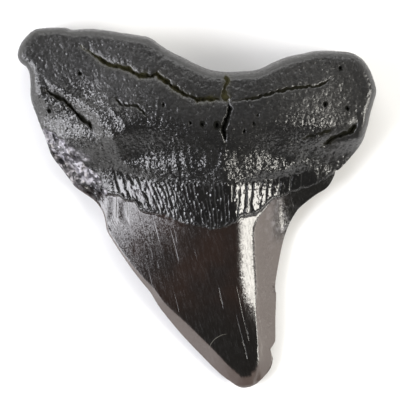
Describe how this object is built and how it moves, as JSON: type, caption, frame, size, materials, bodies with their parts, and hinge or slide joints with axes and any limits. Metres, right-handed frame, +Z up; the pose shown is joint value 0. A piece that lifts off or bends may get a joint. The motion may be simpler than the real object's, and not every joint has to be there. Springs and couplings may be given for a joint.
{
  "type": "megalodon tooth",
  "caption": "Fossil megalodon tooth lying flat, lingual side up: a broad lobed root, a band of fine ridges below it and a leaning, pointed crown with thin cutting edges.",
  "frame": {"origin": "on the resting plane, under the middle of the tooth's box in plan", "axes": "+Y from the crown's tip towards the root, +Z up out of the lingual face; the labial face rests on Z = 0, and the crown's tip leans towards +X"},
  "size_m": [0.0894, 0.0902, 0.0196],
  "materials": {
    "fossil": "satin, glossy on the crown"
  },
  "bodies": {
    "root": {"tooth": "fossil"}
  },
  "joints": []
}
